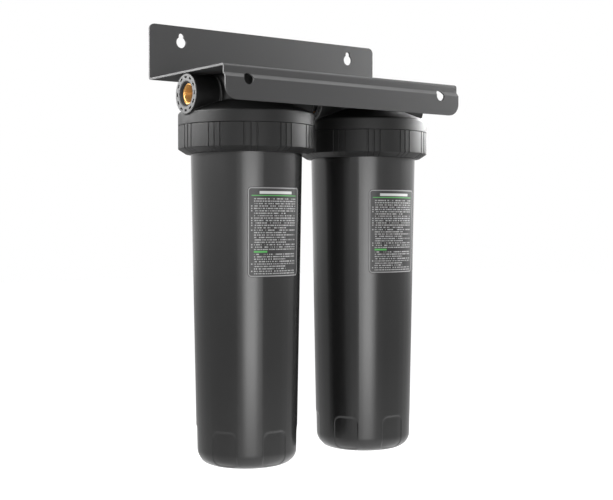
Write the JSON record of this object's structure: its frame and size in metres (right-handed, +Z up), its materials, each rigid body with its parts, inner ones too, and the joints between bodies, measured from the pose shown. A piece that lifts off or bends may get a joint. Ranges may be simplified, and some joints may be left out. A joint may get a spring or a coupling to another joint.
{
  "type": "two-stage sediment water filter",
  "caption": "Wall-mounted water filter with full-height housings side by side under a folded steel bracket, joined in series, with sumps that unscrew.",
  "frame": {"origin": "Middle of the wall plate's back face, the face that lies on the wall.", "axes": "+Z up along the housings. +Y out of the back face into the wall. -Y is the front. +X runs along the bracket from the inlet to the outlet."},
  "size_m": [0.438, 0.2166, 0.6615],
  "materials": {
    "bracket_paint": "satin dark grey powder coat",
    "zinc_steel": "bright zinc plated steel",
    "head_plastic": "dark charcoal moulded plastic, satin",
    "sump_plastic": "dark charcoal moulded plastic, soft gloss",
    "brass": "turned brass",
    "black_rubber": "black rubber, dull",
    "filter_media": "white melt-blown sediment media",
    "core_plastic": "natural white plastic",
    "cap_plastic": "blue-grey moulded end cap",
    "label_film": "charcoal film with a light grey printed border and rules"
  },
  "bodies": {
    "frame": {"mounting_bracket": "bracket_paint", "connecting_nipple": "head_plastic", "stage1_head": "head_plastic", "stage1_threaded_ring": "head_plastic", "stage1_screw_1": "zinc_steel", "stage1_screw_2": "zinc_steel", "stage1_screw_3": "zinc_steel", "stage1_screw_4": "zinc_steel", "stage1_inlet_insert": "brass", "stage1_outlet_insert": "brass", "stage2_head": "head_plastic", "stage2_threaded_ring": "head_plastic", "stage2_screw_1": "zinc_steel", "stage2_screw_2": "zinc_steel", "stage2_screw_3": "zinc_steel", "stage2_screw_4": "zinc_steel", "stage2_inlet_insert": "brass", "stage2_outlet_insert": "brass"},
    "stage1_seal": {"stage1_o_ring": "black_rubber"},
    "stage1_cartridge": {"stage1_cartridge_media": "filter_media", "stage1_cartridge_core": "core_plastic", "stage1_top_cap": "cap_plastic", "stage1_bottom_cap": "cap_plastic", "stage1_top_gasket": "black_rubber", "stage1_bottom_gasket": "black_rubber"},
    "stage1_sump_body": {"stage1_sump": "sump_plastic", "stage1_label": "label_film"},
    "stage2_seal": {"stage2_o_ring": "black_rubber"},
    "stage2_cartridge": {"stage2_cartridge_media": "filter_media", "stage2_cartridge_core": "core_plastic", "stage2_top_cap": "cap_plastic", "stage2_bottom_cap": "cap_plastic", "stage2_top_gasket": "black_rubber", "stage2_bottom_gasket": "black_rubber"},
    "stage2_sump_body": {"stage2_sump": "sump_plastic", "stage2_label": "label_film"}
  },
  "joints": [
    {"name": "stage1_lower", "type": "slide", "parent": "frame", "child": "stage1_seal", "axis": [0, 0, -1], "range_m": [0, 0.1]},
    {"name": "stage1_thread_drop", "type": "slide", "parent": "stage1_seal", "child": "stage1_cartridge", "axis": [0, 0, -1], "range_m": [0, 0.0225]},
    {"name": "stage1_sump_turn", "type": "hinge", "parent": "stage1_cartridge", "child": "stage1_sump_body", "pos_m": [-0.1125, -0.107, -0.1178], "axis": [0, 0, -1], "range_deg": [0, 1260]},
    {"name": "stage2_lower", "type": "slide", "parent": "frame", "child": "stage2_seal", "axis": [0, 0, -1], "range_m": [0, 0.1]},
    {"name": "stage2_thread_drop", "type": "slide", "parent": "stage2_seal", "child": "stage2_cartridge", "axis": [0, 0, -1], "range_m": [0, 0.0225]},
    {"name": "stage2_sump_turn", "type": "hinge", "parent": "stage2_cartridge", "child": "stage2_sump_body", "pos_m": [0.1125, -0.107, -0.1178], "axis": [0, 0, -1], "range_deg": [0, 1260]}
  ],
  "couplings": [
    {"joint": "stage1_thread_drop", "follows": "stage1_sump_turn", "m_per_rad": 0.0010106},
    {"joint": "stage2_thread_drop", "follows": "stage2_sump_turn", "m_per_rad": 0.0010106}
  ]
}
